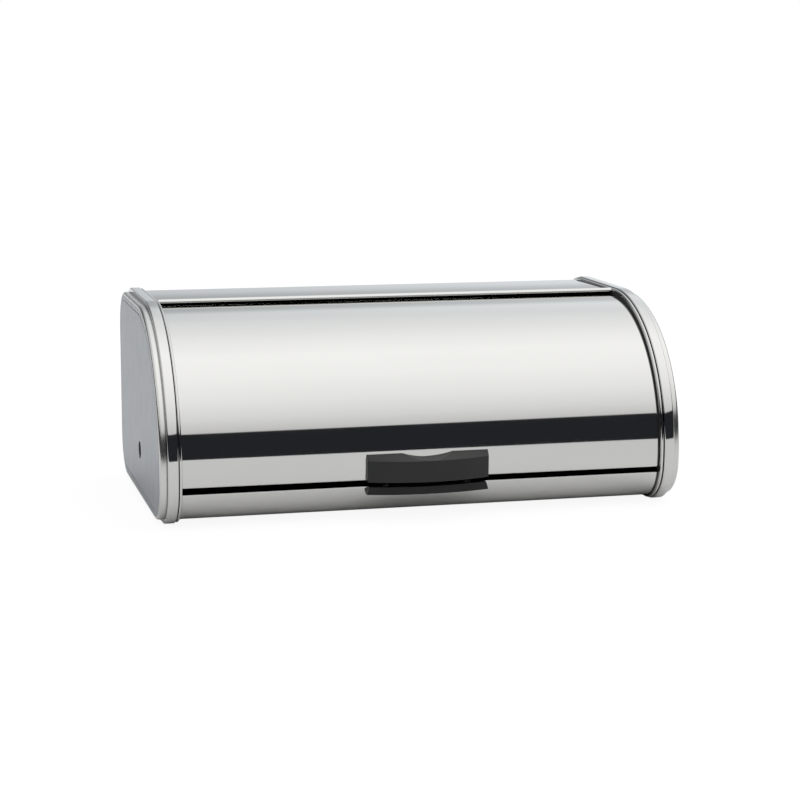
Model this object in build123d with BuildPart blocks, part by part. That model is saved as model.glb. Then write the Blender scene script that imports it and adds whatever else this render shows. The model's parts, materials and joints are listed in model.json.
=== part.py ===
"""Roll-top bread box: a bent steel body between two end caps, with a curved lid that turns back inside it.

Millimetres. X runs along the box, +Y to its back, +Z up. The origin is at the middle of the base.
Most sections are drawn in the YZ plane, where a point is (y, z).
"""

import os
from math import cos, degrees, radians, sin, sqrt

from build123d import *

os.makedirs("parts", exist_ok=True)

# ---- driving sizes ---------------------------------------------------------
BOX_HALF_LENGTH = 223.0
RIM_BACK = 132.8            # y of the rims' back
RIM_BOTTOM = 1.0            # the rims stand on pads this thick
RIM_RADIUS = 127.0          # big front arc of the rims, about the lid's pivot
RIM_CORNER = 38.0           # the other three corners of the rims
PIVOT_Y = 2.0
PIVOT_Z = 47.5

SHEET = 0.6                 # steel of the body and the lid
WRAP_INSET = 2.9            # body sheet below the rims' outline
LID_RADIUS = 121.2          # outer face of the lid and the sill, about the pivot
LID_HALF_LENGTH = 204.5
LID_LOW_ANGLE = -6.0        # lid's lower edge, in degrees above the front horizontal
LID_HIGH_ANGLE = 104.0      # lid's hidden upper edge
LID_TRAVEL = 80.0
SILL_TOP = 29.4
SILL_CORNER = 33.0
HEM_Y = 5.0                 # rolled front edge of the top panel
HEM_RADIUS = 1.65
HEM_HALF_LENGTH = 204.5

# Stations along X, each counted outwards from the middle.
PANEL_IN = 205.0            # inner face of the inner panels
PANEL_OUT = 208.0           # the end caps start here
SEAM_OUT = 207.0            # leaves a dark groove beside each cap
WRAP_HALF_LENGTH = 206.5    # the body sheet ends in a groove of the panels
CAP_STEP = 216.8            # the caps' outline steps in here
CAP_STEP_INSET = 3.6
CAP_WALL = 1.0
CAP_EDGE = 2.4
RIM_EDGE = 0.9
SEAM_INSET = 0.8            # seam ring below the rims' outline
SEAM_EDGE = 0.9

PIN_RADIUS = 4.0
PIN_CLEARANCE = 0.05        # running fit, on the radius
BUSH_RADIUS = 6.5
BUSH_FLANGE_RADIUS = 9.0
BUSH_FLANGE = 0.8
BOSS_RADIUS = 9.5
BOSS_END = 213.0
ARM_IN = 201.9              # stamped arms of the lid
ARM_OUT = 203.9
ARM_HUB = 15.0
ARM_FLANGE_IN = 192.5
CAP_HOLE_RADIUS = 7.5       # opening in the caps in front of the pins' clips
CAP_HOLE_DROP = 2.0         # the opening sits this far below the pivot

HANDLE_HALF = 52.0
HANDLE_FRONT = -132.8       # bowed front at mid-length
GRIP_BOW = 10.0             # how far the handle's ends stand back from its middle
TOP_STANDOFF = 0.6          # the handle's top edge in front of the lid's face, at its ends
TOP_BOW = 0.6
GRIP_BACK = -100.0          # the grips' plans reach in past the steel, which then cuts them
HANDLE_BOTTOM = 34.0
HANDLE_TOP = 56.6
HANDLE_EDGE = 51.7          # the front face ends here and the sloping top begins
SCOOP_WIDTH = 43.0
SCOOP_DEPTH = 3.4
SCOOP_SLOPE = 0.1           # fall of the scoop towards the front
SCOOP_RUN_IN = 10.0         # its cut starts this far inside the lid's face
LIP_BOTTOM = 23.2
LIP_TOP = 29.6
LIP_FRONT = -129.5
LIP_BOW = 7.5
LIP_TAPER = 14.0            # the lip narrows upwards at its front and its ends
SCREW_SPACING = 70.0        # both handle screws, and both lip screws
SCREW_RADIUS = 1.7
SCREW_HOLE_RADIUS = 1.9
SCREW_HOLE_DEPTH = 6.0      # enough to pass the curved sheet both ways
LIP_SCREW_ANGLE = -18.0     # the lip's screws stand square to the curved sill
LIP_SCREW_DEPTH = 7.0
HANDLE_SCREW_ANGLE = -1.0
HANDLE_SCREW_DEPTH = 8.0
HEAD_RADIUS = 3.2
HEAD_HEIGHT = 1.8
DRIVE_LENGTH = 3.2          # cross recess in every screw's head
DRIVE_WIDTH = 0.9
DRIVE_DEPTH = 1.0
WASHER_RADIUS = 4.2
WASHER_HEIGHT = 0.8
TOUCH = 0.01                # the least gap left where flat meets curved

# Screws join each cap to its panel at these places in YZ.
CAP_SCREWS = ((-72.0, 40.0), (-38.0, 130.0), (92.0, 132.0), (96.0, 42.0))
CAP_SCREW_RADIUS = 1.6
CAP_POST_RADIUS = 4.0
CAP_SCREW_HEAD = 3.4
CAP_SCREW_TIP = 217.5
CAP_SCREW_TAPER = 30.0      # countersunk heads

BUFFER_RADIUS = 4.0
BUFFER_RING = 104.0         # the lid's rubber buffers stand this far from the pivot
BUFFER_IN = 200.9
BUFFER_STEM_RADIUS = 2.0
BUFFER_GAP = 0.3

FLOOR_HALF_LENGTH = 204.0
FLOOR_FRONT = -80.0
FLOOR_BACK = 92.0
FLOOR_CORNER = 4.0
FLOOR_THICK = 1.6
FLOOR_RIB = 1.6
FLOOR_RIB_WIDTH = 2.4
FLOOR_RIB_PITCH = 18.0
FLOOR_MARGIN = 6.0          # from the ribs' ends to the floor's edge

FOOT_LENGTH = 26.0
FOOT_WIDTH = 7.6
FOOT_Y = (("front", -64.0), ("back", 78.0))

PIN_HEAD_RADIUS = 7.0
PIN_HEAD_IN = 199.1
PIN_END = 216.1
PIN_CHAMFER = 0.6
CLIP_GAP = 0.4
CLIP_THICK = 1.0
CLIP_RADIUS = 6.0
CLIP_MOUTH = 3.6
GROOVE_RADIUS = 3.2
ARM_HUB_HOLE = 4.0
ARM_FLANGE = 1.2
ARM_WINDOW_OUT = 98.0
ARM_WINDOW_IN = 36.0
ARM_WINDOW_CORNER = 8.0
ARM_SPOKE = 9.0             # degrees taken by each spoke at its window
SOFT_EDGE = 1.0             # rounding of small turned and moulded pieces
SHARP_EDGE = 0.4            # rounding of the grips' edges

SIDES = (("left", -1), ("right", 1))
PIVOT = (PIVOT_Y, PIVOT_Z)
ARC_MIDDLE = 30.0           # any angle between an arc's ends, in degrees
WRAP_ARC_END = 60.0         # hidden by the lid's opening, which takes this part away


def polar(radius, angle):
    """Point in YZ at a radius from the pivot, at an angle in degrees above the front horizontal."""
    return (PIVOT_Y - radius * cos(radians(angle)), PIVOT_Z + radius * sin(radians(angle)))


def section(station=0.0):
    """YZ plane at a distance along X."""
    return Plane.YZ.offset(station)


def outline(inset, mode=Mode.ADD):
    """Face of the rims' outline, moved inwards all round."""
    radius = RIM_RADIUS - inset
    low = RIM_BOTTOM + inset
    back = RIM_BACK - inset
    start = (PIVOT_Y - sqrt(radius**2 - (PIVOT_Z - low) ** 2), low)
    crown = (PIVOT_Y, PIVOT_Z + radius)
    with BuildSketch(Plane.XY, mode=Mode.PRIVATE) as face:
        with BuildLine():
            ThreePointArc(start, polar(radius, ARC_MIDDLE), crown)
            Polyline(crown, (back, crown[1]), (back, low), start)
        make_face()
        fillet(face.vertices().sort_by_distance((*crown, 0))[1:], RIM_CORNER - inset)
    add(face.sketch, mode=mode)


def wrap_face(inset):
    """Face enclosed by the body sheet, with the sill's tighter front."""
    radius = LID_RADIUS - inset
    low = RIM_BOTTOM + WRAP_INSET + inset
    back = RIM_BACK - WRAP_INSET - inset
    top = PIVOT_Z + RIM_RADIUS - WRAP_INSET - inset
    start = (PIVOT_Y - sqrt(radius**2 - (PIVOT_Z - low) ** 2), low)
    with BuildSketch(Plane.XY, mode=Mode.PRIVATE) as face:
        with BuildLine():
            ThreePointArc(start, polar(radius, ARC_MIDDLE), polar(radius, WRAP_ARC_END))
            Polyline(polar(radius, WRAP_ARC_END), (PIVOT_Y, top), (back, top), (back, low), start)
        make_face()
        fillet(face.vertices().sort_by(Axis.X)[-2:], RIM_CORNER - WRAP_INSET - inset)
        fillet(face.vertices().sort_by(Axis.Y)[0], SILL_CORNER - inset)
    return face.sketch


def wrap_section():
    """Section of the body sheet, open where the lid is."""
    with BuildSketch(Plane.XY, mode=Mode.PRIVATE) as face:
        add(wrap_face(0))
        add(wrap_face(SHEET), mode=Mode.SUBTRACT)
        with Locations((HEM_Y, SILL_TOP)):
            Rectangle(
                RIM_BACK + RIM_RADIUS,
                PIVOT_Z + RIM_RADIUS,
                align=(Align.MAX, Align.MIN),
                mode=Mode.SUBTRACT,
            )
    return face.sketch


def sector(outer, inner, low, high, corner=0.0):
    """Ring sector about the pivot, its corners rounded if asked."""
    middle = (low + high) / 2
    with BuildSketch(Plane.XY, mode=Mode.PRIVATE) as face:
        with BuildLine():
            arc_out = ThreePointArc(polar(outer, low), polar(outer, middle), polar(outer, high))
            arc_in = ThreePointArc(polar(inner, low), polar(inner, middle), polar(inner, high))
            Line(arc_out @ 0, arc_in @ 0)
            Line(arc_out @ 1, arc_in @ 1)
        make_face()
        if corner > 0:
            fillet(face.vertices(), corner)
    return face.sketch


def save(builder, name):
    """Label a finished piece and write its STEP."""
    builder.part.label = name
    export_step(builder.part, f"parts/{name}.step")


# ---- body sheet ------------------------------------------------------------
LID_INSIDE = LID_RADIUS - SHEET
SILL_CENTER_Z = RIM_BOTTOM + WRAP_INSET + SILL_CORNER
SILL_CENTER_Y = PIVOT_Y - sqrt((LID_RADIUS - SILL_CORNER) ** 2 - (PIVOT_Z - SILL_CENTER_Z) ** 2)

# Local z of this plane points out of the sill, square to it.
lip_normal = Vector(0, -cos(radians(LIP_SCREW_ANGLE)), sin(radians(LIP_SCREW_ANGLE)))
lip_seat = Vector(0, SILL_CENTER_Y, SILL_CENTER_Z) + lip_normal * (SILL_CORNER - SHEET)
LIP_SCREW_PLANE = Plane(origin=lip_seat, x_dir=(1, 0, 0), z_dir=lip_normal)

handle_normal = Vector(0, -cos(radians(HANDLE_SCREW_ANGLE)), sin(radians(HANDLE_SCREW_ANGLE)))
handle_seat = Vector(0, PIVOT_Y, PIVOT_Z) + handle_normal * LID_INSIDE
HANDLE_SCREW_PLANE = Plane(origin=handle_seat, x_dir=(1, 0, 0), z_dir=handle_normal)

with BuildPart() as body_wrap:
    with BuildSketch(section()):
        add(wrap_section())
    extrude(amount=WRAP_HALF_LENGTH, both=True)
    with BuildSketch(section()):
        with Locations((HEM_Y, PIVOT_Z + RIM_RADIUS - WRAP_INSET - SHEET + HEM_RADIUS)):
            Circle(HEM_RADIUS)
    extrude(amount=HEM_HALF_LENGTH, both=True)
    with BuildSketch(section()):
        with Locations((HEM_Y, PIVOT_Z + RIM_RADIUS - WRAP_INSET - SHEET + HEM_RADIUS)):
            Circle(HEM_RADIUS - SHEET)
    extrude(amount=HEM_HALF_LENGTH, both=True, mode=Mode.SUBTRACT)
    with Locations(LIP_SCREW_PLANE):
        with GridLocations(SCREW_SPACING, 1, 2, 1):
            Cylinder(SCREW_HOLE_RADIUS, SCREW_HOLE_DEPTH, mode=Mode.SUBTRACT)
save(body_wrap, "body_wrap")

# ---- end caps, seam rings and inner panels --------------------------------
ARM_LOW_ANGLE = LID_LOW_ANGLE + 2.0
ARM_HIGH_ANGLE = LID_HIGH_ANGLE - 2.0
BUFFER_STEP = degrees((BUFFER_RADIUS + BUFFER_GAP) / BUFFER_RING)

closed_buffer = polar(BUFFER_RING, ARM_LOW_ANGLE - BUFFER_STEP)
open_buffer = polar(BUFFER_RING, ARM_HIGH_ANGLE + LID_TRAVEL + BUFFER_STEP)

for side, sign in SIDES:
    with BuildPart() as end_cap:
        with BuildSketch(section(sign * PANEL_OUT)):
            outline(0)
        extrude(amount=sign * (CAP_STEP - PANEL_OUT))
        with BuildSketch(section(sign * CAP_STEP)):
            outline(CAP_STEP_INSET)
        extrude(amount=sign * (BOX_HALF_LENGTH - CAP_STEP))
        ends = end_cap.faces().filter_by(Axis.X).sort_by(Axis.X, reverse=sign < 0)
        fillet(ends[-1].edges(), CAP_EDGE)
        fillet(ends[1].outer_wire().edges() + ends[0].edges(), RIM_EDGE)
        with BuildSketch(section(sign * PANEL_OUT)):
            outline(CAP_WALL)
        extrude(amount=sign * (CAP_STEP - CAP_WALL - PANEL_OUT), mode=Mode.SUBTRACT)
        with BuildSketch(section(sign * PANEL_OUT)):
            outline(CAP_STEP_INSET + CAP_EDGE)
        extrude(amount=sign * (BOX_HALF_LENGTH - CAP_WALL - PANEL_OUT), mode=Mode.SUBTRACT)
        with BuildSketch(section(sign * PANEL_OUT)):
            with Locations(*CAP_SCREWS):
                Circle(CAP_POST_RADIUS)
        extrude(amount=sign * (BOX_HALF_LENGTH - CAP_WALL - PANEL_OUT))
        with BuildSketch(section(sign * PANEL_OUT)):
            with Locations(*CAP_SCREWS):
                Circle(CAP_SCREW_RADIUS)
        extrude(amount=sign * (CAP_SCREW_TIP - PANEL_OUT), mode=Mode.SUBTRACT)
        with BuildSketch(section(sign * CAP_STEP)):
            with Locations((PIVOT_Y, PIVOT_Z - CAP_HOLE_DROP)):
                Circle(CAP_HOLE_RADIUS)
        extrude(amount=sign * (BOX_HALF_LENGTH - CAP_STEP), mode=Mode.SUBTRACT)
    save(end_cap, f"{side}_end_cap")

    with BuildPart() as seam_ring:
        with BuildSketch(section(sign * PANEL_IN)):
            outline(SEAM_INSET)
            outline(WRAP_INSET, mode=Mode.SUBTRACT)
        extrude(amount=sign * (SEAM_OUT - PANEL_IN))
        inner_end = seam_ring.faces().filter_by(Axis.X).sort_by(Axis.X, reverse=sign < 0)[0]
        outer_end = seam_ring.faces().filter_by(Axis.X).sort_by(Axis.X, reverse=sign < 0)[-1]
        fillet(inner_end.outer_wire().edges() + outer_end.outer_wire().edges(), SEAM_EDGE)
    save(seam_ring, f"{side}_seam_ring")

    with BuildPart() as inner_panel:
        with BuildSketch(section(sign * PANEL_IN)):
            outline(WRAP_INSET)
        extrude(amount=sign * (PANEL_OUT - PANEL_IN))
        with BuildSketch(section(sign * PANEL_IN)):
            with Locations(PIVOT):
                Circle(BOSS_RADIUS)
        extrude(amount=sign * (BOSS_END - PANEL_IN))
        with BuildSketch(section(sign * PANEL_IN)):
            add(wrap_section())
        extrude(amount=sign * (WRAP_HALF_LENGTH - PANEL_IN), mode=Mode.SUBTRACT)
        with BuildSketch(section(sign * PANEL_IN)):
            with Locations(PIVOT):
                Circle(BUSH_RADIUS)
        extrude(amount=sign * (BOSS_END - PANEL_IN), mode=Mode.SUBTRACT)
        with BuildSketch(section(sign * PANEL_IN)):
            with Locations(*CAP_SCREWS):
                Circle(CAP_SCREW_HEAD)
        extrude(amount=sign * (PANEL_OUT - PANEL_IN), mode=Mode.SUBTRACT, taper=CAP_SCREW_TAPER)
        with BuildSketch(section(sign * PANEL_IN)):
            with Locations(*CAP_SCREWS):
                Circle(CAP_SCREW_RADIUS)
            with Locations(closed_buffer, open_buffer):
                Circle(BUFFER_STEM_RADIUS)
        extrude(amount=sign * (PANEL_OUT - PANEL_IN), mode=Mode.SUBTRACT)
    save(inner_panel, f"{side}_inner_panel")

# ---- pieces fastened to the body -------------------------------------------
floor_z = RIM_BOTTOM + WRAP_INSET + SHEET
floor_depth = FLOOR_BACK - FLOOR_FRONT
floor_middle = (0, (FLOOR_BACK + FLOOR_FRONT) / 2)
rib_count = int(2 * FLOOR_HALF_LENGTH / FLOOR_RIB_PITCH)

with BuildPart() as floor_panel:
    with BuildSketch(Plane.XY.offset(floor_z)):
        with Locations(floor_middle):
            RectangleRounded(2 * FLOOR_HALF_LENGTH, floor_depth, FLOOR_CORNER)
    extrude(amount=FLOOR_THICK)
    with BuildSketch(Plane.XY.offset(floor_z + FLOOR_THICK)):
        with Locations(floor_middle):
            with GridLocations(FLOOR_RIB_PITCH, 1, rib_count, 1):
                SlotOverall(floor_depth - 2 * FLOOR_MARGIN, FLOOR_RIB_WIDTH, rotation=90)
    extrude(amount=FLOOR_RIB)
save(floor_panel, "floor_panel")


def grip_plan(front, end_front):
    """Plan of a grip with a bowed front; its back reaches in past the steel."""
    left, right = (-HANDLE_HALF, end_front), (HANDLE_HALF, end_front)
    with BuildSketch(Plane.XY, mode=Mode.PRIVATE) as face:
        with BuildLine():
            ThreePointArc(left, (0, front), right)
            Polyline(right, (HANDLE_HALF, GRIP_BACK), (-HANDLE_HALF, GRIP_BACK), left)
        make_face()
    return face.sketch


with BuildPart() as front_lip:
    with BuildSketch(Plane.XY.offset(LIP_BOTTOM)):
        add(grip_plan(LIP_FRONT, LIP_FRONT + LIP_BOW))
    extrude(amount=LIP_TOP - LIP_BOTTOM, taper=LIP_TAPER)
    front_edges = front_lip.edges().group_by(Axis.Z)
    fillet(front_edges[0].sort_by(Axis.Y)[0], SHARP_EDGE)
    fillet(front_edges[-1].sort_by(Axis.Y)[0], SHARP_EDGE)
    with BuildSketch(section(-HANDLE_HALF)):
        add(wrap_face(0))
    extrude(amount=2 * HANDLE_HALF, mode=Mode.SUBTRACT)
    with Locations(LIP_SCREW_PLANE):
        with GridLocations(SCREW_SPACING, 1, 2, 1):
            Cylinder(SCREW_RADIUS, 2 * LIP_SCREW_DEPTH, mode=Mode.SUBTRACT)
save(front_lip, "front_lip")

def pan_screws(plane, depth, seat):
    """Two pan-head screws along the plane's normal, their heads inside the box."""
    head_plane = plane.offset(-seat - HEAD_HEIGHT)
    with BuildPart() as screws:
        with BuildSketch(head_plane):
            with GridLocations(SCREW_SPACING, 1, 2, 1):
                Circle(HEAD_RADIUS)
        extrude(amount=HEAD_HEIGHT)
        with BuildSketch(head_plane):
            with GridLocations(SCREW_SPACING, 1, 2, 1):
                Circle(SCREW_RADIUS)
        extrude(amount=HEAD_HEIGHT + seat + depth)
        with BuildSketch(head_plane):
            with GridLocations(SCREW_SPACING, 1, 2, 1):
                Rectangle(DRIVE_LENGTH, DRIVE_WIDTH)
                Rectangle(DRIVE_WIDTH, DRIVE_LENGTH)
        extrude(amount=DRIVE_DEPTH, mode=Mode.SUBTRACT)
    return screws


def washers(plane, gap, thickness):
    """Two washers between the screws' heads and the curved sheet, which their edges touch."""
    with BuildPart() as rings:
        with BuildSketch(plane.offset(-gap - thickness)):
            with GridLocations(SCREW_SPACING, 1, 2, 1):
                Circle(WASHER_RADIUS)
                Circle(SCREW_HOLE_RADIUS, mode=Mode.SUBTRACT)
        extrude(amount=thickness)
    return rings


lip_gap = WASHER_RADIUS**2 / (2 * (SILL_CORNER - SHEET)) + TOUCH
lip_screws = pan_screws(LIP_SCREW_PLANE, LIP_SCREW_DEPTH, lip_gap + WASHER_HEIGHT)
save(lip_screws, "lip_screws")
lip_washers = washers(LIP_SCREW_PLANE, lip_gap, WASHER_HEIGHT)
save(lip_washers, "lip_washers")

FOOT_X = (PANEL_OUT + CAP_STEP) / 2

for side, sign in SIDES:
    for end, foot_y in FOOT_Y:
        with BuildPart() as foot_pad:
            with BuildSketch(Plane.XY):
                with Locations((sign * FOOT_X, foot_y)):
                    SlotOverall(FOOT_LENGTH, FOOT_WIDTH, rotation=90)
            extrude(amount=RIM_BOTTOM)
        save(foot_pad, f"{end}_{side}_foot_pad")

    with BuildPart() as pivot_bush:
        with BuildSketch(section(sign * PANEL_IN)):
            with Locations(PIVOT):
                Circle(BUSH_RADIUS)
        extrude(amount=sign * (BOSS_END - PANEL_IN))
        with BuildSketch(section(sign * (PANEL_IN - BUSH_FLANGE))):
            with Locations(PIVOT):
                Circle(BUSH_FLANGE_RADIUS)
        extrude(amount=sign * BUSH_FLANGE)
        with BuildSketch(section(sign * (PANEL_IN - BUSH_FLANGE))):
            with Locations(PIVOT):
                Circle(PIN_RADIUS + PIN_CLEARANCE)
        extrude(amount=sign * (BOSS_END - PANEL_IN + BUSH_FLANGE), mode=Mode.SUBTRACT)
    save(pivot_bush, f"{side}_pivot_bush")

    with BuildPart() as cap_screws:
        with BuildSketch(section(sign * PANEL_IN)):
            with Locations(*CAP_SCREWS):
                Circle(CAP_SCREW_HEAD)
        extrude(amount=sign * (PANEL_OUT - PANEL_IN), taper=CAP_SCREW_TAPER)
        with BuildSketch(section(sign * PANEL_IN)):
            with Locations(*CAP_SCREWS):
                Circle(CAP_SCREW_RADIUS)
        extrude(amount=sign * (CAP_SCREW_TIP - PANEL_IN))
        with BuildSketch(section(sign * PANEL_IN)):
            with Locations(*CAP_SCREWS):
                Rectangle(DRIVE_LENGTH, DRIVE_WIDTH)
                Rectangle(DRIVE_WIDTH, DRIVE_LENGTH)
        extrude(amount=sign * DRIVE_DEPTH, mode=Mode.SUBTRACT)
    save(cap_screws, f"{side}_cap_screws")

    for name, place in (("closed", closed_buffer), ("open", open_buffer)):
        with BuildPart() as buffer:
            with BuildSketch(section(sign * PANEL_IN)):
                with Locations(place):
                    Circle(BUFFER_RADIUS)
            extrude(amount=sign * (BUFFER_IN - PANEL_IN))
            inner_end = buffer.faces().filter_by(Axis.X).sort_by(Axis.X, reverse=sign < 0)[0]
            fillet(inner_end.edges(), SOFT_EDGE)
            with BuildSketch(section(sign * PANEL_IN)):
                with Locations(place):
                    Circle(BUFFER_STEM_RADIUS)
            extrude(amount=sign * (PANEL_OUT - PANEL_IN))
        save(buffer, f"{side}_{name}_buffer")

# ---- lid -------------------------------------------------------------------
with BuildPart() as lid_sheet:
    with BuildSketch(section()):
        add(sector(LID_RADIUS, LID_INSIDE, LID_LOW_ANGLE, LID_HIGH_ANGLE))
    extrude(amount=LID_HALF_LENGTH, both=True)
    with Locations(HANDLE_SCREW_PLANE):
        with GridLocations(SCREW_SPACING, 1, 2, 1):
            Cylinder(SCREW_HOLE_RADIUS, SCREW_HOLE_DEPTH, mode=Mode.SUBTRACT)
save(lid_sheet, "lid_sheet")

CLIP_IN = BOSS_END + CLIP_GAP
CLIP_OUT = CLIP_IN + CLIP_THICK

for side, sign in SIDES:
    with BuildPart() as lid_arm:
        with BuildSketch(section(sign * ARM_IN)):
            with BuildLine():
                rim = ThreePointArc(
                    polar(LID_INSIDE, ARM_LOW_ANGLE),
                    polar(LID_INSIDE, (ARM_LOW_ANGLE + ARM_HIGH_ANGLE) / 2),
                    polar(LID_INSIDE, ARM_HIGH_ANGLE),
                )
                Line(rim @ 1, PIVOT)
                Line(PIVOT, rim @ 0)
            make_face()
            with Locations(PIVOT):
                Circle(ARM_HUB)
        extrude(amount=sign * (ARM_OUT - ARM_IN))
        with BuildSketch(section(sign * ARM_FLANGE_IN)):
            add(sector(LID_INSIDE, LID_INSIDE - ARM_FLANGE, ARM_LOW_ANGLE, ARM_HIGH_ANGLE))
        extrude(amount=sign * (ARM_OUT - ARM_FLANGE_IN))
        with BuildSketch(section(sign * ARM_IN)):
            spoke_angles = (ARM_LOW_ANGLE + ARM_SPOKE, ARM_HIGH_ANGLE - ARM_SPOKE)
            add(sector(ARM_WINDOW_OUT, ARM_WINDOW_IN, *spoke_angles, corner=ARM_WINDOW_CORNER))
            with Locations(PIVOT):
                Circle(ARM_HUB_HOLE)
        extrude(amount=sign * (ARM_OUT - ARM_IN), mode=Mode.SUBTRACT)
    save(lid_arm, f"{side}_lid_arm")

    with BuildPart() as pivot_pin:
        with BuildSketch(section(sign * PIN_HEAD_IN)):
            with Locations(PIVOT):
                Circle(PIN_HEAD_RADIUS)
        extrude(amount=sign * (ARM_IN - PIN_HEAD_IN))
        fillet(pivot_pin.faces().sort_by(Axis.X, reverse=sign < 0)[0].edges(), SOFT_EDGE)
        with BuildSketch(section(sign * ARM_IN)):
            with Locations(PIVOT):
                Circle(PIN_RADIUS)
        extrude(amount=sign * (PIN_END - ARM_IN))
        chamfer(pivot_pin.faces().sort_by(Axis.X, reverse=sign < 0)[-1].edges(), PIN_CHAMFER)
        with BuildSketch(section(sign * CLIP_IN)):
            with Locations(PIVOT):
                Circle(PIN_HEAD_RADIUS)
                Circle(GROOVE_RADIUS, mode=Mode.SUBTRACT)
        extrude(amount=sign * (CLIP_OUT - CLIP_IN), mode=Mode.SUBTRACT)
    save(pivot_pin, f"{side}_pivot_pin")

    with BuildPart() as pivot_clip:
        with BuildSketch(section(sign * CLIP_IN)):
            with Locations(PIVOT):
                Circle(CLIP_RADIUS)
                Circle(GROOVE_RADIUS, mode=Mode.SUBTRACT)
            with Locations((PIVOT_Y, PIVOT_Z - CLIP_RADIUS)):
                Rectangle(CLIP_MOUTH, 2 * CLIP_RADIUS, mode=Mode.SUBTRACT)
        extrude(amount=sign * (CLIP_OUT - CLIP_IN))
    save(pivot_clip, f"{side}_pivot_clip")

lid_face_y = PIVOT_Y - sqrt(LID_RADIUS**2 - (HANDLE_TOP - PIVOT_Z) ** 2)
scoop_radius = ((SCOOP_WIDTH / 2) ** 2 + SCOOP_DEPTH**2) / (2 * SCOOP_DEPTH)
scoop_rise = HANDLE_TOP - SCOOP_DEPTH + SCOOP_RUN_IN * SCOOP_SLOPE
scoop_length = lid_face_y - HANDLE_FRONT + 2 * SCOOP_RUN_IN
scoop_start = Vector(0, lid_face_y + SCOOP_RUN_IN, scoop_rise)
scoop_axis = Vector(0, -1, -SCOOP_SLOPE)
scoop_plane = Plane(origin=scoop_start, x_dir=(1, 0, 0), z_dir=scoop_axis)

with BuildPart() as lid_handle:
    with BuildSketch(Plane.XY.offset(HANDLE_BOTTOM)):
        add(grip_plan(HANDLE_FRONT, HANDLE_FRONT + GRIP_BOW))
    extrude(amount=HANDLE_EDGE - HANDLE_BOTTOM)
    # The sloping top runs from the bowed front face back to a nearly straight line at the lid.
    with BuildSketch(Plane.XY.offset(HANDLE_EDGE)):
        add(grip_plan(HANDLE_FRONT, HANDLE_FRONT + GRIP_BOW))
    with BuildSketch(Plane.XY.offset(HANDLE_TOP)):
        add(grip_plan(lid_face_y - TOP_STANDOFF - TOP_BOW, lid_face_y - TOP_STANDOFF))
    loft(ruled=True)
    front_face = lid_handle.faces().sort_by(Axis.Y)[0]
    fillet(front_face.edges().filter_by(Axis.Z), SHARP_EDGE)
    with BuildSketch(scoop_plane):
        with Locations((0, scoop_radius)):
            Circle(scoop_radius)
    extrude(amount=scoop_length, mode=Mode.SUBTRACT)
    with BuildSketch(section(-HANDLE_HALF)):
        with Locations(PIVOT):
            Circle(LID_RADIUS)
    extrude(amount=2 * HANDLE_HALF, mode=Mode.SUBTRACT)
    with Locations(HANDLE_SCREW_PLANE):
        with GridLocations(SCREW_SPACING, 1, 2, 1):
            Cylinder(SCREW_RADIUS, 2 * HANDLE_SCREW_DEPTH, mode=Mode.SUBTRACT)
save(lid_handle, "lid_handle")

handle_gap = WASHER_RADIUS**2 / (2 * LID_INSIDE) + TOUCH
handle_screws = pan_screws(HANDLE_SCREW_PLANE, HANDLE_SCREW_DEPTH, handle_gap + WASHER_HEIGHT)
save(handle_screws, "handle_screws")
handle_washers = washers(HANDLE_SCREW_PLANE, handle_gap, WASHER_HEIGHT)
save(handle_washers, "handle_washers")
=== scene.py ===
"""Looks of the roll-top bread box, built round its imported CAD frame. Metres."""

import json
from math import asin, atan2, cos, hypot, pi, radians, sin, sqrt

import bmesh
import bpy
from mathutils import Matrix, Vector


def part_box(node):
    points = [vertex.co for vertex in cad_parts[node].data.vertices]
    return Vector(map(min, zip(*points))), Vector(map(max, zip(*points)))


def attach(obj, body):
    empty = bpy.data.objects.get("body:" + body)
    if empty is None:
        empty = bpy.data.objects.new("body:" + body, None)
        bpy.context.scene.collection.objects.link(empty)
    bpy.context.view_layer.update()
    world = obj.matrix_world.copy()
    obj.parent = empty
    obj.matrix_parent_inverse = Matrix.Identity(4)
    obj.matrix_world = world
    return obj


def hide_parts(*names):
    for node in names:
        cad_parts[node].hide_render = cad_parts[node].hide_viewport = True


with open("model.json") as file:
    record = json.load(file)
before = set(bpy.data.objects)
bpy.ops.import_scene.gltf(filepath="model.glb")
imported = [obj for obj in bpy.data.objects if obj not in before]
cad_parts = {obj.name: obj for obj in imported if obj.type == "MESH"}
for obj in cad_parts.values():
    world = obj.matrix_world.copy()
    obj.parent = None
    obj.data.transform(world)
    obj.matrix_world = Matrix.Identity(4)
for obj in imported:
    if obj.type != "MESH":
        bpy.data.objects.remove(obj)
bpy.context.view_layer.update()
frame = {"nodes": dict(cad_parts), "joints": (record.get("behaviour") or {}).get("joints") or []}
nodes = frame["nodes"]

MM = 0.001
SIDES = (("left", -1), ("right", 1))

# ---- sizes, from the frame where it holds them ---------------------------------
pivot = Vector(frame["joints"][0]["pos_m"])
rim_low, rim_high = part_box("right_end_cap")
seam_low, seam_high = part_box("right_seam_ring")
wrap_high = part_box("body_wrap")[1]
lid_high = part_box("lid_sheet")[1]

RIM_RADIUS = rim_high[2] - pivot.z
RIM_BACK = rim_high[1]
RIM_BOTTOM = rim_low[2]
RIM_CORNER = 38 * MM

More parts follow.
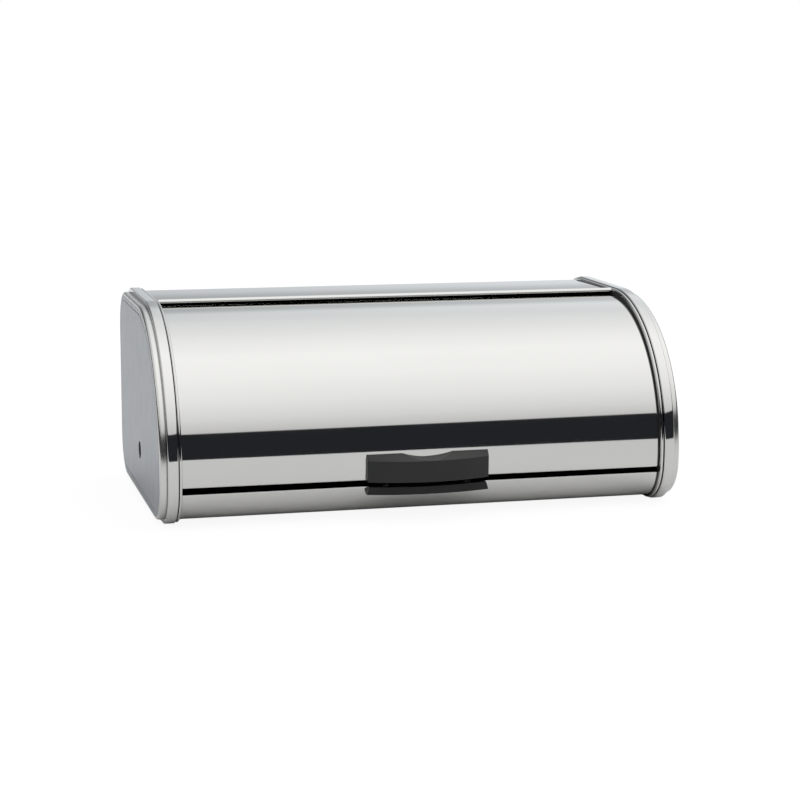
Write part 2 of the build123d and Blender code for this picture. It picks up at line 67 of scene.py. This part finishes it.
CAP_IN = rim_low[0]
CAP_OUT = rim_high[0]
CAP_WALL = 1.0 * MM
CAP_RIM_EDGE = 1.1 * MM      # rounding of both edges of the rim
CAP_STEP = CAP_IN + 8.8 * MM
CAP_STEP_INSET = 3.6 * MM
CAP_STEP_EDGE = 0.3 * MM
CAP_GROOVE = 0.5 * MM        # depth of the line between the rim and the step
CAP_EDGE = 2.4 * MM          # rounding between the step and the face
CAP_CREASE = 11.0 * MM       # shallow crease round the caps' faces
CAP_CREASE_HALF = 0.45 * MM
CAP_CREASE_DEPTH = 0.3 * MM
CAP_HOLE = 7.5 * MM          # radius of the pivot openings
CAP_HOLE_DROP = 2.0 * MM     # they sit this far below the pivot

SEAM_IN = seam_low[0]
SEAM_SPREAD = 0.5 * MM       # the beads look this much wider, towards the caps, than the CAD's rings
SEAM_OUT = seam_high[0] + SEAM_SPREAD
SEAM_INSET = RIM_RADIUS - (seam_high[2] - pivot.z)

SHEET = 0.6 * MM
WRAP_INSET = 2.9 * MM
WRAP_HALF = wrap_high[0] - 1.5 * MM
SILL_CORNER = 33 * MM
SILL_TOP = 29.4 * MM

LID_HALF = lid_high[0]
LID_RADIUS = lid_high[2] - pivot.z
LID_LOW = radians(-6)
LID_HIGH = radians(104)
LID_SLANT = radians(0.45)    # the closed lid's left end sits this much higher

HEM_Y = 5.0 * MM             # the body sheet's front edge, where the top panel's hem is rolled
HEM_RADIUS = 1.65 * MM
HEM_FLAT = 1.0 * MM          # the roll is flattened to this, on the side that faces forwards and up
HEM_LEAN = radians(35)
HEM_HALF = 204.5 * MM

# ---- steps that curves are cut into --------------------------------------------
RIM_FRONT_STEPS = 120
RIM_CORNER_STEPS = 24
RIM_EDGE_STEPS = 6
GROOVE_STEPS = 4
FACE_EDGE_STEPS = 10
HOLE_STEPS = 64
BEAD_STEPS = 8
SHEET_EDGE_STEPS = 6
LID_STEPS = 220
BACK_CORNER_STEPS = 32
SILL_STEPS = 48
HEM_STEPS = 48
LENGTH_STEPS = 16

# Edges stay crisp where a surface turns by more than this, in degrees.
CAP_CRISP = 25
SEAM_CRISP = 35
SHEET_CRISP = 50

# ---- camera ----------------------------------------------------------------------
CAMERA_YAW = radians(14.6)
CAMERA_PITCH = radians(9.73)
CAMERA_ROLL = radians(0.24)
CAMERA_AIM = (8.28 * MM, 4.17 * MM, 79.37 * MM)
CAMERA_DISTANCE = 1818.73 * MM
CAMERA_LENS = 92.5           # in millimetres, as the sensor is
CAMERA_SENSOR = 36
CAMERA_REACH = 100

# ---- studio ----------------------------------------------------------------------
# Brightness of the studio by the angle, in degrees, from the front horizon up over the box to the back one.
STUDIO = (
    (-180, 0.45),
    (-90, 0.30),
    (0, 0.50),
    (20, 0.62),
    (30, 0.79),
    (45, 0.94),
    (65, 1.05),
    (85, 1.08),
    (100, 1.00),
    (115, 0.90),
    (132, 0.79),
    (144, 0.77),
    (147, 0.70),
    (150.5, 0.57),
    (156, 0.50),
    (164, 0.45),
    (167, 0.51),
    (170, 0.57),
    (176, 0.57),
    (180, 0.50),
)
STUDIO_PEAK = 1.1            # the ramp holds each brightness as a share of this
STUDIO_STRENGTH = 1.43
COOL = (0.955, 1.0, 1.03)
COOL_FROM = 100              # degrees; the light turns slightly blue from here
COOL_OVER = 50               # and is fully so after this many more

# Each pair gives the X or Y, of a direction of length 1, where a change starts and where it ends.
LEFT_EDGE = (-0.25, 0.05)    # X
LEFT_SHADE = 0.7             # the studio's left side is this much of its right side
BACK_EDGE = (0.6, 0.85)      # Y
BACK_SLOPE = 1.1             # behind the box the studio brightens this steeply towards the right
BACK_MIDDLE = 0.25
GAP_END = (0.8, 0.65)        # Y; the dark gap goes round the box from the front as far as here
GAP_TOP = 19.3               # the gap ends this many degrees above the horizon
GAP_SOFT = 0.3
GAP_COLOR = (0.017, 0.018, 0.021, 1)
WHITE = (1, 1, 1, 1)

FLOOR_SIDE = 12
FLOOR_FRONT = -4.2
FLOOR_BACK = 14
FLOOR_PAPER = (0.90, 0.90, 0.90, 1)
FLOOR_GLOW = 0.88            # share of the floor's white that no shadow reaches
FLOOR_LIGHT = 1.04


def make_camera():
    yaw_cos = cos(CAMERA_YAW)
    yaw_sin = sin(CAMERA_YAW)
    pitch_cos = cos(CAMERA_PITCH)
    forward = Vector((yaw_sin * pitch_cos, yaw_cos * pitch_cos, -sin(CAMERA_PITCH)))
    right = Vector((yaw_cos, -yaw_sin, 0))
    up = right.cross(forward)
    tilted_right = right * cos(CAMERA_ROLL) + up * sin(CAMERA_ROLL)
    tilted_up = up * cos(CAMERA_ROLL) - right * sin(CAMERA_ROLL)
    place = Vector(CAMERA_AIM) - forward * CAMERA_DISTANCE
    data = bpy.data.cameras.new("camera")
    data.sensor_width = CAMERA_SENSOR
    data.lens = CAMERA_LENS
    data.clip_end = CAMERA_REACH
    camera = bpy.data.objects.new("camera", data)
    turn = Matrix((tilted_right, tilted_up, -forward)).transposed()
    camera.matrix_world = Matrix.Translation(place) @ turn.to_4x4()
    bpy.context.scene.collection.objects.link(camera)
    bpy.context.scene.camera = camera


class Graph:
    """A node tree, with short calls for the nodes that several places here use."""

    def __init__(self, tree):
        self.tree = tree

    def add(self, kind):
        return self.tree.nodes.new("ShaderNode" + kind)

    def link(self, source, target):
        self.tree.links.new(source, target)

    def math(self, operation, *terms):
        """A Math node's output; each term is a number or another node's output."""
        node = self.add("Math")
        node.operation = operation
        for socket, term in zip(node.inputs, terms):
            if isinstance(term, bpy.types.NodeSocket):
                self.link(term, socket)
            else:
                socket.default_value = term
        return node.outputs[0]

    def between(self, source, low, high, start=0.3, stop=0.7):
        """A number from low to high as source goes from start to stop."""
        node = self.add("MapRange")
        node.inputs["From Min"].default_value = start
        node.inputs["From Max"].default_value = stop
        node.inputs["To Min"].default_value = low
        node.inputs["To Max"].default_value = high
        self.link(source, node.inputs["Value"])
        return node.outputs[0]

    def shader_mix(self, share, first, second):
        node = self.add("MixShader")
        self.link(share, node.inputs[0])
        self.link(first, node.inputs[1])
        self.link(second, node.inputs[2])
        return node.outputs[0]


def studio_ramp(graph, position):
    """The studio's colour at a position that goes from 0 to 1 over a whole turn."""
    ramp = graph.add("ValToRGB")
    elements = ramp.color_ramp.elements
    while len(elements) < len(STUDIO):
        elements.new(1.0)
    for element, (turn, level) in zip(elements, STUDIO):
        element.position = (turn + 180) / 360
        cool = min(max((turn - COOL_FROM) / COOL_OVER, 0), 1)
        shade = level / STUDIO_PEAK
        element.color = (*(shade * (1 + cool * (tone - 1)) for tone in COOL), 1)
    graph.link(position, ramp.inputs[0])
    return ramp.outputs[0]


def make_world():
    """Tent of soft light over the box, with a dark gap low in front, where the camera stands."""
    world = bpy.data.worlds.new("studio")
    bpy.context.scene.world = world
    world.use_nodes = True
    world.node_tree.nodes.clear()
    graph = Graph(world.node_tree)
    split = graph.add("SeparateXYZ")
    graph.link(graph.add("TexCoord").outputs["Generated"], split.inputs[0])
    x, y, z = split.outputs

    angle = graph.math("ARCTAN2", z, graph.math("MULTIPLY", y, -1))
    tent_color = studio_ramp(graph, graph.between(angle, 0, 1, -pi, pi))
    low = graph.between(z, 0, 1, sin(radians(GAP_TOP + GAP_SOFT)), sin(radians(GAP_TOP - GAP_SOFT)))
    gap = graph.math("MULTIPLY", low, graph.between(y, 0, 1, *GAP_END))
    darken = graph.add("Mix")
    darken.data_type = "RGBA"
    darken.inputs["B"].default_value = GAP_COLOR
    graph.link(gap, darken.inputs["Factor"])
    graph.link(tent_color, darken.inputs["A"])

    across = graph.between(x, LEFT_SHADE, 1, *LEFT_EDGE)
    behind = graph.between(y, 0, BACK_SLOPE, *BACK_EDGE)
    graded = graph.math("MULTIPLY_ADD", graph.math("SUBTRACT", x, BACK_MIDDLE), behind, 1)
    strength = graph.math("MULTIPLY", graph.math("MULTIPLY", across, graded), STUDIO_PEAK * STUDIO_STRENGTH)
    tent = graph.add("Background")
    graph.link(darken.outputs["Result"], tent.inputs["Color"])
    graph.link(strength, tent.inputs["Strength"])
    plain = graph.add("Background")
    plain.inputs["Color"].default_value = WHITE
    seen = graph.add("LightPath").outputs["Is Camera Ray"]
    surface = graph.shader_mix(seen, tent.outputs[0], plain.outputs[0])
    graph.link(surface, graph.add("OutputWorld").inputs[0])


def make_floor():
    """Pale floor, lit from below as a product table is, so that shadows on it stay faint."""
    mesh = bpy.data.meshes.new("floor")
    corners = [
        (-FLOOR_SIDE, FLOOR_FRONT, 0),
        (FLOOR_SIDE, FLOOR_FRONT, 0),
        (FLOOR_SIDE, FLOOR_BACK, 0),
        (-FLOOR_SIDE, FLOOR_BACK, 0),
    ]
    mesh.from_pydata(corners, [], [(0, 1, 2, 3)])
    floor = bpy.data.objects.new("floor", mesh)
    bpy.context.scene.collection.objects.link(floor)
    material = bpy.data.materials.new("floor_paper")
    material.use_nodes = True
    graph = Graph(material.node_tree)
    paper = graph.tree.nodes["Principled BSDF"]
    paper.inputs["Base Color"].default_value = FLOOR_PAPER
    paper.inputs["Roughness"].default_value = 0.9
    paper.inputs["Specular IOR Level"].default_value = 0
    glow = graph.add("Emission")
    glow.inputs["Strength"].default_value = FLOOR_LIGHT
    share = graph.math("MULTIPLY", graph.add("LightPath").outputs["Is Camera Ray"], FLOOR_GLOW)
    surface = graph.shader_mix(share, paper.outputs[0], glow.outputs[0])
    graph.link(surface, graph.tree.nodes["Material Output"].inputs[0])
    mesh.materials.append(material)


# ---- materials -----------------------------------------------------------------
class Recipe(Graph):
    """A material on the object: a Principled shader and the textures that drive it."""

    def __init__(self, name, **values):
        self.material = bpy.data.materials.new(name)
        self.material.use_nodes = True
        super().__init__(self.material.node_tree)
        self.shader = self.tree.nodes["Principled BSDF"]
        for socket, value in values.items():
            self.shader.inputs[socket].default_value = value
        self.coords = self.add("TexCoord").outputs["Object"]

    def noise(self, scale, detail=2.0, stretch=(1, 1, 1)):
        mapping = self.add("Mapping")
        mapping.inputs["Scale"].default_value = stretch
        texture = self.add("TexNoise")
        texture.inputs["Scale"].default_value = scale
        texture.inputs["Detail"].default_value = detail
        self.link(self.coords, mapping.inputs["Vector"])
        self.link(mapping.outputs[0], texture.inputs["Vector"])
        return texture.outputs["Fac"]

    def roughness(self, source, low, high):
        self.link(self.between(source, low, high), self.shader.inputs["Roughness"])

    def colour(self, source, first, second):
        """Colours the surface from first to second as source goes from 0 to 1."""
        node = self.add("Mix")
        node.data_type = "RGBA"
        node.inputs["A"].default_value = (*first, 1)
        node.inputs["B"].default_value = (*second, 1)
        self.link(source, node.inputs["Factor"])
        self.link(node.outputs["Result"], self.shader.inputs["Base Color"])

    def bump(self, source, depth, strength):
        node = self.add("Bump")
        node.inputs["Strength"].default_value = strength
        node.inputs["Distance"].default_value = depth
        self.link(source, node.inputs["Height"])
        self.link(node.outputs[0], self.shader.inputs["Normal"])


def scaled(tint, share):
    return tuple(share * value for value in tint)


def polished_steel(name, tint, low, high):
    """Mirror-polished stainless: faint haze, and the rolling grain left along the sheet."""
    recipe = Recipe(name, Metallic=1.0)
    recipe.roughness(recipe.noise(9, 3.0), low, high)
    recipe.colour(recipe.noise(30, 2.0, (0.2, 1, 1)), scaled(tint, 0.97), tint)
    return recipe.material


def satin_steel(name, tint):
    """Brushed stainless, with its grain running up and down."""
    recipe = Recipe(name, Metallic=1.0)
    grain = recipe.noise(900, 2.0, (1, 1, 0.05))
    recipe.roughness(grain, 0.30, 0.42)
    recipe.colour(recipe.noise(14, 4.0), scaled(tint, 0.93), tint)
    recipe.bump(grain, 0.01 * MM, 0.4)
    return recipe.material


def moulded_plastic(name, tint, low, high):
    recipe = Recipe(name, IOR=1.47)
    recipe.roughness(recipe.noise(60, 3.0), low, high)
    recipe.colour(recipe.noise(25, 3.0), tint, scaled(tint, 1.25))
    recipe.bump(recipe.noise(1800), 0.03 * MM, 0.6)
    return recipe.material


def plated_steel(name, tint):
    recipe = Recipe(name, Metallic=1.0)
    recipe.roughness(recipe.noise(160, 3.0), 0.22, 0.38)
    yellowed = (tint[0], 0.96 * tint[1], 0.86 * tint[2])
    recipe.colour(recipe.noise(90), tint, yellowed)
    recipe.bump(recipe.noise(1400), 0.01 * MM, 0.5)
    return recipe.material


def rubber(name):
    recipe = Recipe(name, IOR=1.5)
    recipe.roughness(recipe.noise(300, 3.0), 0.6, 0.8)
    recipe.colour(recipe.noise(120, 3.0), (0.02, 0.02, 0.02), (0.035, 0.035, 0.034))
    recipe.bump(recipe.noise(1500, 3.0), 0.03 * MM, 0.6)
    return recipe.material


STEEL = (0.575, 0.572, 0.558)
MIRROR = polished_steel("mirror_steel", STEEL, 0.025, 0.05)
RIM_POLISH = polished_steel("rim_polish", STEEL, 0.03, 0.06)
RIM_SATIN = polished_steel("rim_satin", STEEL, 0.15, 0.21)
SATIN_FACE = satin_steel("satin_face", (0.30, 0.318, 0.345))
GRIP = moulded_plastic("grip_plastic", (0.0045, 0.0045, 0.0048), 0.36, 0.44)
LINER = moulded_plastic("liner_plastic", (0.018, 0.018, 0.019), 0.5, 0.62)
ACETAL = moulded_plastic("acetal", (0.72, 0.72, 0.68), 0.35, 0.45)
ARM_STEEL = satin_steel("arm_steel", (0.42, 0.42, 0.42))
PLATED = plated_steel("zinc_plate", (0.62, 0.62, 0.6))
RUBBER = rubber("rubber")

CAP_STEELS = (RIM_POLISH, SATIN_FACE, RIM_SATIN)
FACE_SLOT = CAP_STEELS.index(SATIN_FACE)
STEP_SLOT = CAP_STEELS.index(RIM_SATIN)


def dress(node, material):
    """Gives a CAD node its material."""
    mesh = nodes[node].data
    mesh.materials.clear()
    mesh.materials.append(material)


# ---- outlines --------------------------------------------------------------------
def arc_points(center, radius, start, stop, count):
    """Points (y, z) on an arc; angles are in radians from +Y towards +Z."""
    turns = [start + (stop - start) * step / count for step in range(count + 1)]
    return [(center[0] + radius * cos(turn), center[1] + radius * sin(turn)) for turn in turns]


def rim_outline(inset):
    """The rims' outline moved inwards, as points (y, z), the same number for each inset."""
    radius = RIM_RADIUS - inset
    low = RIM_BOTTOM + inset
    back = RIM_BACK - inset
    corner = RIM_CORNER - inset
    foot_z = low + corner
    foot_y = pivot.y - sqrt((radius - corner) ** 2 - (pivot.z - foot_z) ** 2)
    tangent = atan2(foot_z - pivot.z, foot_y - pivot.y) + 2 * pi
    top = pivot.z + radius
    points = arc_points((back - corner, top - corner), corner, 0, pi / 2, RIM_CORNER_STEPS)
    points += arc_points((pivot.y, pivot.z), radius, pi / 2, tangent, RIM_FRONT_STEPS)
    points += arc_points((foot_y, foot_z), corner, tangent, 1.5 * pi, RIM_CORNER_STEPS)[1:]
    points += arc_points((back - corner, foot_z), corner, 1.5 * pi, 2 * pi, RIM_CORNER_STEPS)
    return points


def quarter(start, end, count, along_first):
    """Stations (x, inset) of a rounded edge, which sets out along x if along_first, and across it if not."""
    stations = []
    for step in range(count + 1):
        turn = step / count * pi / 2
        along = sin(turn) if along_first else 1 - cos(turn)
        across = 1 - cos(turn) if along_first else sin(turn)
        stations.append((start[0] + (end[0] - start[0]) * along, start[1] + (end[1] - start[1]) * across))
    return stations


def sheet_section(outer, inner):
    """Closed ring of (y, z) points from the outer and inner faces of a bent sheet, with rounded edges."""
    def rounded(first, last):
        center = ((first[0] + last[0]) / 2, (first[1] + last[1]) / 2)
        radius = hypot(first[0] - last[0], first[1] - last[1]) / 2
        start = atan2(first[1] - center[1], first[0] - center[0])
        return arc_points(center, radius, start, start - pi, SHEET_EDGE_STEPS)[1:-1]

    return outer + rounded(outer[-1], inner[-1]) + inner[::-1] + rounded(inner[0], outer[0])


# ---- meshes ----------------------------------------------------------------------
def around(items):
    """Each item with the next one, and the last with the first."""
    return list(zip(items, items[1:] + items[:1]))


def bridge(rows, sign):
    """Faces between successive rings of the same number of points."""
    faces = []
    count = len(rows[0])
    for ring in range(len(rows) - 1):
        for here, following in around(list(range(ring * count, (ring + 1) * count))):
            quad = (here, following, following + count, here + count)
            faces.append(quad if sign > 0 else quad[::-1])
    return faces


def mesh_of(name, rows, faces):
    mesh = bpy.data.meshes.new(name)
    mesh.from_pydata([point for row in rows for point in row], [], faces)
    return mesh


def ringed(name, stations, sign):
    """Skin through the rims' outline at each station (x, inset)."""
    rows = [[(sign * x, y, z) for y, z in rim_outline(inset)] for x, inset in stations]
    return mesh_of(name, rows, bridge(rows, sign))


def extruded(name, left, half, right=None):
    """Closed solid along X from the section left to the section right, cut into equal lengths."""
    right = right or left
    rows = []
    for step in range(LENGTH_STEPS + 1):
        part = step / LENGTH_STEPS
        x = -half + 2 * half * part
        pairs = zip(left, right)
        rows.append([(x, a[0] + (b[0] - a[0]) * part, a[1] + (b[1] - a[1]) * part) for a, b in pairs])
    count = len(left)
    faces = bridge(rows, 1)
    faces.append(tuple(range(count)))
    faces.append(tuple(range(LENGTH_STEPS * count, (LENGTH_STEPS + 1) * count))[::-1])
    return mesh_of(name, rows, faces)


def sharpen(mesh, limit):
    """Keeps crisp edges where the surface turns by more than the limit, in degrees."""
    work = bmesh.new()
    work.from_mesh(mesh)
    bmesh.ops.remove_doubles(work, verts=work.verts, dist=1e-7)
    bmesh.ops.recalc_face_normals(work, faces=work.faces)
    for edge in work.edges:
        edge.smooth = len(edge.link_faces) != 2 or edge.calc_face_angle(0) < radians(limit)
    work.to_mesh(mesh)
    work.free()


def add_piece(name, mesh, crisp, body, slot, materials, *replaced):
    """Puts a finished mesh in the scene as a piece that rides on a body, in place of the replaced nodes."""
    sharpen(mesh, crisp)
    for material in materials:
        mesh.materials.append(material)
    for polygon in mesh.polygons:
        polygon.use_smooth = True
    piece = bpy.data.objects.new(name, mesh)
    bpy.context.scene.collection.objects.link(piece)
    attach(piece, body)
    if replaced:
        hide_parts(*replaced)


# ---- end caps ----------------------------------------------------------------------
def cap_stations():
    """Stations (x, inset) from a cap's open back over its rim and step to its rolled edge."""
    stations = [(CAP_IN, CAP_RIM_EDGE + CAP_WALL)]
    stations += quarter((CAP_IN, CAP_RIM_EDGE), (CAP_IN + CAP_RIM_EDGE, 0), RIM_EDGE_STEPS, False)
    stations += quarter((CAP_STEP - CAP_RIM_EDGE, 0), (CAP_STEP, CAP_RIM_EDGE), RIM_EDGE_STEPS, True)
    groove = (CAP_STEP, CAP_STEP_INSET + CAP_GROOVE)
    stations += quarter(groove, (CAP_STEP + CAP_STEP_EDGE, CAP_STEP_INSET), GROOVE_STEPS, False)
    face_start = (CAP_OUT - CAP_EDGE, CAP_STEP_INSET)
    stations += quarter(face_start, (CAP_OUT, CAP_STEP_INSET + CAP_EDGE), FACE_EDGE_STEPS, True)
    return stations


def close_cap(mesh, count, sign):
    """Fills the face inside the mesh's last ring, of count points, round the pivot opening and its lip."""
    work = bmesh.new()
    work.from_mesh(mesh)
    ring = list(work.verts)[-count:]
    rim = [work.edges.get(pair) for pair in around(ring)]
    opening = (pivot.y, pivot.z - CAP_HOLE_DROP)
    circle = arc_points(opening, CAP_HOLE, 0, 2 * pi, HOLE_STEPS)[:-1]
    hole = [work.verts.new((sign * CAP_OUT, y, z)) for y, z in circle]
    inner = [work.edges.new(pair) for pair in around(hole)]
    flat = bmesh.ops.triangle_fill(work, edges=rim + inner, use_beauty=True)
    for item in flat["geom"]:
        if isinstance(item, bmesh.types.BMFace):
            item.material_index = FACE_SLOT
    lip = [work.verts.new((sign * (CAP_OUT - CAP_WALL), y, z)) for y, z in circle]
    for (here, following), (below, below_following) in zip(around(hole), around(lip)):
        work.faces.new((here, following, below_following, below)).material_index = FACE_SLOT
    work.to_mesh(mesh)
    work.free()


def make_cap(side, sign):
    """Pressed end cap: polished rim, satin step and rolled edge, and a brushed face with a shallow crease."""
    stations = cap_stations()
    face_ring = len(stations) - 1
    step_ring = next(index for index, (x, inset) in enumerate(stations) if x > CAP_STEP)
    stations += [
        (CAP_OUT, CAP_CREASE - CAP_CREASE_HALF),
        (CAP_OUT - CAP_CREASE_DEPTH, CAP_CREASE),
        (CAP_OUT, CAP_CREASE + CAP_CREASE_HALF),
    ]
    name = f"{side}_cap_skin"
    mesh = ringed(name, stations, sign)
    count = len(mesh.vertices) // len(stations)
    for index, polygon in enumerate(mesh.polygons):
        ring = index // count
        if ring >= face_ring:
            polygon.material_index = FACE_SLOT
        elif ring >= step_ring:
            polygon.material_index = STEP_SLOT
    close_cap(mesh, count, sign)
    add_piece(name, mesh, CAP_CRISP, "box", "cap_steel", CAP_STEELS, f"{side}_end_cap")


def make_seam(side, sign):
    """Rounded bead beside the cap."""
    bead = (SEAM_OUT - SEAM_IN) / 2
    stations = [(SEAM_IN, WRAP_INSET)]
    stations += quarter((SEAM_IN, SEAM_INSET + bead), (SEAM_IN + bead, SEAM_INSET), BEAD_STEPS, False)
    stations += quarter((SEAM_OUT - bead, SEAM_INSET), (SEAM_OUT, SEAM_INSET + bead), BEAD_STEPS, True)[1:]
    stations += [(SEAM_OUT, WRAP_INSET), (SEAM_IN, WRAP_INSET)]
    name = f"{side}_seam_bead"
    mesh = ringed(name, stations, sign)
    add_piece(name, mesh, SEAM_CRISP, "box", "seam_steel", (RIM_POLISH,), f"{side}_seam_ring")


# ---- lid and body --------------------------------------------------------------------
def lid_section(low):
    """Section of the lid whose lower edge is at this angle above the front horizontal."""
    center = (pivot.y, pivot.z)
    outer = arc_points(center, LID_RADIUS, pi - low, pi - LID_HIGH, LID_STEPS)
    inner = arc_points(center, LID_RADIUS - SHEET, pi - low, pi - LID_HIGH, LID_STEPS)
    return sheet_section(outer, inner)


def make_lid():
    mesh = extruded("lid_skin", lid_section(LID_LOW + LID_SLANT), LID_HALF, lid_section(LID_LOW))
    add_piece("lid_skin", mesh, SHEET_CRISP, "lid", "polished_steel", (MIRROR,), "lid_sheet")


def wrap_path(inset):
    """Body sheet from the hem over the back and under to the sill's edge."""
    top = pivot.z + RIM_RADIUS - WRAP_INSET - inset
    back = RIM_BACK - WRAP_INSET - inset
    low = RIM_BOTTOM + WRAP_INSET + inset
    corner = RIM_CORNER - WRAP_INSET - inset
    front_corner = SILL_CORNER - inset
    foot_z = low + front_corner
    foot_y = pivot.y - sqrt((LID_RADIUS - inset - front_corner) ** 2 - (pivot.z - foot_z) ** 2)
    edge = asin((foot_z - SILL_TOP) / front_corner) - pi
    points = [(HEM_Y, top)]
    points += arc_points((back - corner, top - corner), corner, pi / 2, 0, BACK_CORNER_STEPS)
    points += arc_points((back - corner, low + corner), corner, 0, -pi / 2, BACK_CORNER_STEPS)
    points += arc_points((foot_y, foot_z), front_corner, -pi / 2, edge, SILL_STEPS)
    return points


def make_body():
    mesh = extruded("body_skin", sheet_section(wrap_path(0), wrap_path(SHEET)), WRAP_HALF)
    add_piece("body_skin", mesh, SHEET_CRISP, "box", "polished_steel", (MIRROR,), "body_wrap")


def make_hem():
    """The roll along the top panel's front edge: an oval that leans back, as high as the CAD's round roll."""
    hem_z = pivot.z + RIM_RADIUS - WRAP_INSET - SHEET + HEM_RADIUS
    longer = sqrt(HEM_RADIUS**2 - (HEM_FLAT * sin(HEM_LEAN)) ** 2) / cos(HEM_LEAN)
    ring = []
    for along, out in arc_points((0, 0), 1, 0, 2 * pi, HEM_STEPS)[:-1]:
        y = along * longer * sin(HEM_LEAN) - out * HEM_FLAT * cos(HEM_LEAN)
        z = along * longer * cos(HEM_LEAN) + out * HEM_FLAT * sin(HEM_LEAN)
        ring.append((HEM_Y + y, hem_z + z))
    hem = extruded("rolled_hem", ring, HEM_HALF)
    add_piece("rolled_hem", hem, SHEET_CRISP, "box", "polished_steel", (MIRROR,))


def dress_side(side):
    """Materials of the CAD nodes that both sides have."""
    dress(f"{side}_inner_panel", LINER)
    dress(f"{side}_pivot_bush", ACETAL)
    dress(f"{side}_cap_screws", PLATED)
    dress(f"{side}_lid_arm", ARM_STEEL)
    dress(f"{side}_pivot_pin", PLATED)
    dress(f"{side}_pivot_clip", PLATED)
    for use in ("closed", "open"):
        dress(f"{side}_{use}_buffer", RUBBER)
    for end in ("front", "back"):
        dress(f"{end}_{side}_foot_pad", RUBBER)


make_camera()
make_world()
make_floor()
for side, sign in SIDES:
    make_cap(side, sign)
    make_seam(side, sign)
    dress_side(side)
dress("floor_panel", LINER)
dress("front_lip", GRIP)
dress("lid_handle", GRIP)
for name in ("lip_screws", "lip_washers", "handle_screws", "handle_washers"):
    dress(name, PLATED)
make_lid()
make_body()
make_hem()

settings = bpy.context.scene.view_settings
settings.view_transform = "Standard"
settings.look = "None"
